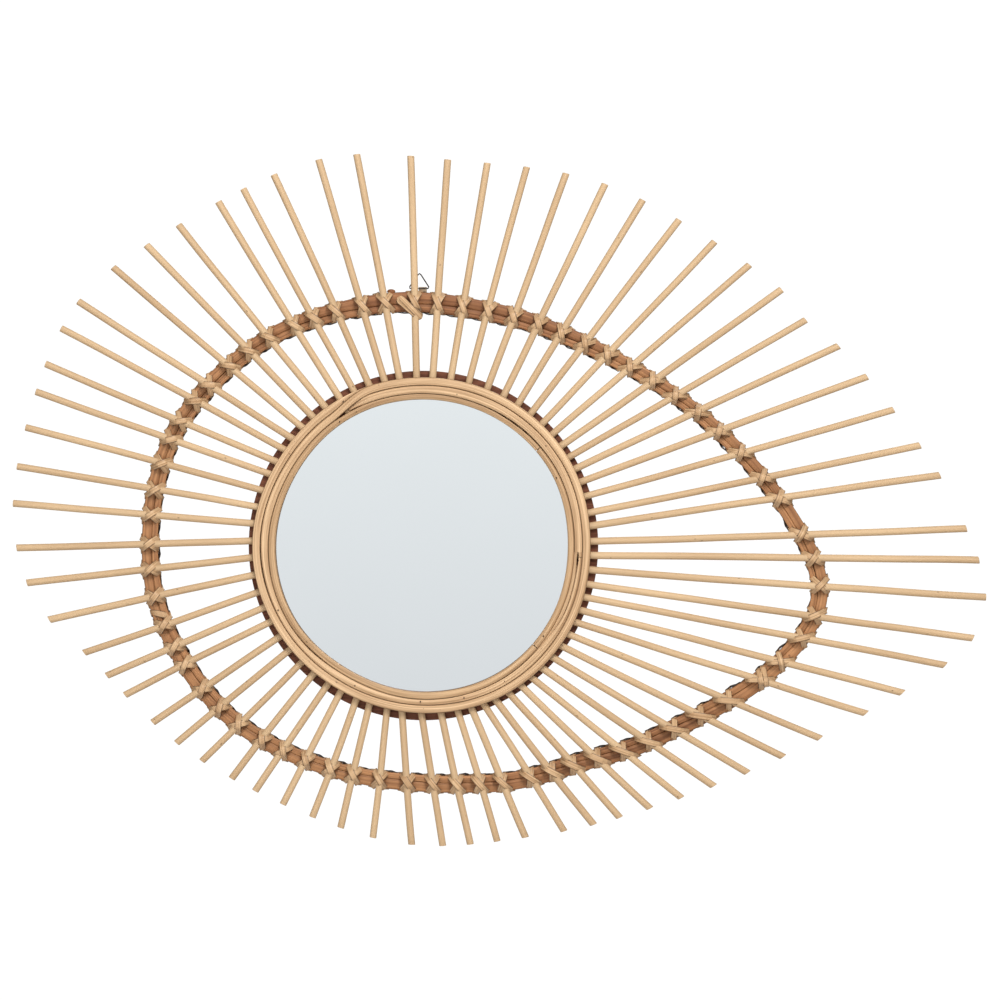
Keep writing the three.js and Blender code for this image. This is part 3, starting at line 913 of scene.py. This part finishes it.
for number, (stick, station) in enumerate(zip(sticks, stations)):
    chance = random.Random(400 + number)
    point, tangent, outward = hoop_frame(station)
    half = hoop_width(point) / 2
    lean = stick["along"].dot(tangent) / stick["along"].dot(outward)
    spread = round_the_glass(cross_spreads, point) / 1000
    shear = round_the_glass(cross_turns, point) * lean
    inside = -outward

    def at(side, out, depth):
        """A place beside the crossing: side along the hoop, out from its middle, depth from the wall."""
        return point + tangent * (side + shear * out) + outward * out + Vector((0, -depth, 0))

    def arm(start, stop, on_top, way):
        """A tight strip across the front of the hoop, from flank to flank. It runs inwards where its way
        is 1, and outwards where it is -1."""
        flank = half + flank_stand_off
        profile = []
        for step in range(arm_steps + 1):
            f = step / arm_steps
            side = start + (stop - start) * f
            out = math.copysign(flank, start * way) * (1 - 2 * f)
            flat = at(side, out, 0)
            height = rests_on(stick, half, flat, out)
            if on_top and abs(f - 0.5) < 0.2:
                height += strip_on_strip
            profile.append((f, height, side, out))
        heights = pulled_tight([(f, height) for f, height, _, _ in profile])
        return [at(side, out, height) for (_, _, side, out), height in zip(profile, heights)]

    if number == widest_crossing:
        spread *= 1.5
    left = spread * chance.uniform(0.92, 1.08)
    right = -spread * chance.uniform(0.92, 1.08)
    swapped = number in swapped_crossings
    first = arm(left, right, swapped, -1)
    second = arm(left * chance.uniform(0.93, 1.05), right * chance.uniform(0.93, 1.05), not swapped, 1)
    ahead = (stations[(number + 1) % len(stations)] - station) % hoop_stations
    behind = (station - stations[number - 1]) % hoop_stations
    stand_off = chance.uniform(0.0003, 0.0016)
    swing = min(chance.uniform(0.005, 0.011), 0.36 * ahead * hoop_length / hoop_stations)
    link_in = hoop_frame(station + ahead / 2)[0]
    next_in = hoop_frame(station - behind / 2)[0]
    turned = (inside * 3 + back).normalized()
    # From behind the hoop round its inner side, out across the front, behind it, in again, and on behind.
    # The third value of each place is painted shade, darkest where the strip turns round the hoop's inner
    # side.
    route = [
        (link_in + Vector((0, -0.0006, 0)), back, 0),
        (at(left - 0.002 + 1.5 * swing, 0.0025 - half, 0.0009), back, 0),
        (at(left - 0.002 + swing, -half - 0.0002, 0.0028), turned, 0.8),
        (at(left - 0.002 + 0.5 * swing, -half - stand_off, 0.0046), turned, 1),
        (at(left - 0.001, -half - 0.0008, 0.0060), (inside * 4 + front).normalized(), 0.9),
    ]
    route += [(place, front, 0) for place in first[1:-1]]
    route += [
        (at(right, half + 0.0005, 0.0042), outward, 0.3),
        (at(right * 0.8, half - 0.0012, 0.0010), (outward + back).normalized(), 0.3),
        (at(0, half * 0.3, 0.0006), back, 0),
        (at(left * 0.8, half - 0.0012, 0.0010), (outward + back).normalized(), 0.3),
        (at(left, half + 0.0005, 0.0042), outward, 0.3),
    ]
    route += [(place, front, 0) for place in second[1:-1]]
    route += [
        (at(right - 0.0003, -half - 0.0005, 0.0042), inside, 0.6),
        (at(right - 0.0015, 0.0012 - half, 0.0010), (inside + back).normalized(), 0.4),
        (next_in + Vector((0, -0.0006, 0)), back, 0),
    ]
    points = smooth_run([place for place, _, _ in route], 2)
    faces_out = smooth_run([face for _, face, _ in route], 2)
    shades = smooth_run([Vector((shade, 0, 0)) for _, _, shade in route], 2)
    wide = strip_width * chance.uniform(0.93, 1.07)
    flat_strip(binding, points, faces_out, wide, 31 + 0.4 * number, shades=shades)

    if number == doubled_crossing:
        extra = arm(left + doubled_shift, right + doubled_shift, True, -1)
        extra[0] = at(left + doubled_shift, -half - 0.0004, 0.0030)
        extra[-1] = at(right + doubled_shift, half + 0.0004, 0.0030)
        faces_out = [inside] + [front] * (len(extra) - 2) + [outward]
        flat_strip(binding, extra, faces_out, wide, 88)

tail_starts = ((-18.5, -19.5, 8.2, 0.0), (-17.0, -18.4, 5.0, strip_on_strip))
tail_end = Vector((1.8, 0, -37.6)) / 1000
tail_depths = (0.0098, 0.0112, 0.0136, 0.0164, 0.0160, 0.0139, 0.0108)
for x, z, wide, lift in tail_starts:
    start = Vector((x, 0, z)) / 1000
    points = smooth_run([
        start.lerp(tail_end, k / 6) + Vector((0, -depth - lift, 0)) for k, depth in enumerate(tail_depths)
    ], 3)
    flat_strip(binding, points, [front] * len(points), wide / 1000, 70 + x, 0.002)

wrap_at = Vector((-223.5, 0, -291.7)) / 1000
wrap_station = min(range(hoop_stations), key=lambda k: (hoop_row[k] - wrap_at).length)
point, tangent, outward = hoop_frame(wrap_station)
half = hoop_width(point) / 2
wrap_loop = [
    (3.5, -0.6, 5, -1), (2.6, -0.3, 9, -0.6), (0.9, -0.1, 10.2, 0), (-0.9, 0.1, 10.2, 0), (-2.6, 0.3, 9, 0.6),
    (-3.5, 0.6, 5, 1), (-1.5, 0.4, 0.9, 0.4), (1.5, -0.4, 0.9, -0.4), (3.5, -0.6, 5, -1),
]
points, faces_out = [], []
for side, share, depth, turn in wrap_loop:
    out = math.copysign(min(abs(share) * 2, 1), share) * half + 0.0006 * turn
    points.append(point + tangent * side / 1000 + outward * out + Vector((0, -depth / 1000, 0)))
    faces_out.append((outward * turn + (front if depth > 4 else back) * (1.01 - abs(turn))).normalized())
flat_strip(binding, smooth_run(points, 5), smooth_run(faces_out, 5), strip_width, 90)

for vertex in binding.verts:
    vertex.co.y = min(vertex.co.y, -0.0001)
finish_piece("binding", binding, [strip_cane], "pale_cane", smooth_below=50)


# Hanger wire and strap
# A triangle of dark steel wire, bent by hand, that hangs the mirror on a hook in the wall. Its ends
# overlap along the base, and a strap of thin sheet metal, folded over the base, holds it to the hoop.
wire_clean, wire_aged = (0.05, 0.047, 0.043), (0.085, 0.066, 0.052)
wire_end_radius = 0.0006
wire_end_length = 0.0083
wire_end_middle = Vector((0.00295, -0.0037, -0.0114))
strap_clean, strap_aged = (0.66, 0.50, 0.345), (0.56, 0.42, 0.28)

wire_material = metal_material("dark_wire", 0.35, 1, wire_clean, wire_aged)
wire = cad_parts["hanger_wire"]
wire.data.materials.clear()
wire.data.materials.append(wire_material)

wire_end = bmesh.new()
bmesh.ops.create_cone(
    wire_end, cap_ends=True, segments=12, radius1=wire_end_radius, radius2=wire_end_radius,
    depth=wire_end_length, matrix=Matrix.Rotation(math.radians(90), 4, "Y"),
)
bmesh.ops.translate(wire_end, verts=wire_end.verts, vec=wire_end_middle)
finish_piece("hanger_wire_end", wire_end, [wire_material], "dark_wire")

strap_material = metal_material("strap_metal", 0.45, 1, strap_clean, strap_aged)
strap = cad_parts["hanger_strap"]
strap.data.materials.clear()
strap.data.materials.append(strap_material)


# Floor, light and camera
# The mirror hangs well above a plain white floor. Soft light comes mostly from the front and from above,
# with a weaker light on the back, and the camera faces the mirror square on from some way off.
floor_drop = 1.3
floor_radius = 4
camera_distance = 3.6
image_width = 0.86
image_centre = Vector((0.0694, 0, -0.1938))
low_room_colour = (0.71, 0.735, 0.755)
high_room_colour = (0.82, 0.855, 0.87)
dim_room_colour = (0.17, 0.17, 0.17)

floor_material, nodes, links, shader = new_material("white_floor", 0.9)
shader.inputs["Base Color"].default_value = (0.85, 0.85, 0.85, 1)
shader.inputs["Emission Color"].default_value = (1, 1, 1, 1)
seen = nodes.new("ShaderNodeLightPath")
glow = maths(nodes, "MULTIPLY", 0.6)
links.new(seen.outputs["Is Camera Ray"], glow.inputs[0])
links.new(glow.outputs[0], shader.inputs["Emission Strength"])
floor_builder = bmesh.new()
bmesh.ops.create_circle(floor_builder, cap_ends=True, segments=96, radius=floor_radius)
bmesh.ops.translate(floor_builder, verts=floor_builder.verts, vec=(0, 0, -floor_drop))
floor_mesh = bpy.data.meshes.new("floor")
floor_builder.to_mesh(floor_mesh)
floor_builder.free()
floor_mesh.materials.append(floor_material)
floor = bpy.data.objects.new("floor", floor_mesh)
bpy.context.scene.collection.objects.link(floor)
floor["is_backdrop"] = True

world = bpy.data.worlds.new("studio")
bpy.context.scene.world = world
world.use_nodes = True
nodes, links = world.node_tree.nodes, world.node_tree.links
room = nodes["Background"]
direction = nodes.new("ShaderNodeTexCoord")
parts = nodes.new("ShaderNodeSeparateXYZ")
links.new(direction.outputs["Generated"], parts.inputs["Vector"])
height = new_node(nodes, "MapRange", {"From Min": -0.05, "From Max": 0.03})
links.new(parts.outputs["Z"], height.inputs["Value"])
ahead = colour_mix(nodes, low_room_colour, high_room_colour)
links.new(height.outputs["Result"], ahead.inputs["Factor"])
forward = new_node(nodes, "MapRange", {"From Min": 0.1, "From Max": -0.95})
forward.interpolation_type = "SMOOTHSTEP"
links.new(parts.outputs["Y"], forward.inputs["Value"])
around_room = colour_mix(nodes, dim_room_colour)
links.new(forward.outputs["Result"], around_room.inputs["Factor"])
links.new(ahead.outputs["Result"], around_room.inputs["B"])
links.new(around_room.outputs["Result"], room.inputs["Color"])
room.inputs["Strength"].default_value = 1
backdrop = new_node(nodes, "Background", {"Color": (1, 1, 1, 1), "Strength": 1.05})
seen = nodes.new("ShaderNodeLightPath")
choice = nodes.new("ShaderNodeMixShader")
links.new(seen.outputs["Is Camera Ray"], choice.inputs["Fac"])
links.new(room.outputs["Background"], choice.inputs[1])
links.new(backdrop.outputs["Background"], choice.inputs[2])
links.new(choice.outputs["Shader"], nodes["World Output"].inputs["Surface"])


def soft_light(name, offset, size, power):
    """A round soft light beside the mirror, turned towards its glass."""
    light = bpy.data.lights.new(name, "AREA")
    light.shape = "DISK"
    light.size = size
    light.energy = power
    lamp = bpy.data.objects.new(name, light)
    lamp.location = centre + Vector(offset)
    lamp.rotation_euler = (-Vector(offset)).to_track_quat("-Z", "Y").to_euler()
    bpy.context.scene.collection.objects.link(lamp)


soft_light("window", (0.6, -2.0, 1.6), 1.1, 46)
soft_light("reflector", (-1.2, -2.4, -0.1), 2.0, 12)
soft_light("back_light", (0.5, 2.2, 1.3), 1.6, 16)

camera_data = bpy.data.cameras.new("camera")
camera_data.sensor_width = 36
camera_data.lens = 36 * camera_distance / image_width
camera = bpy.data.objects.new("camera", camera_data)
camera.location = image_centre + Vector((0, -camera_distance - stick_depth, 0))
camera.rotation_euler = (math.radians(90), 0, 0)
bpy.context.scene.collection.objects.link(camera)
bpy.context.scene.camera = camera
bpy.context.scene.view_settings.view_transform = "Standard"

low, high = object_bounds()
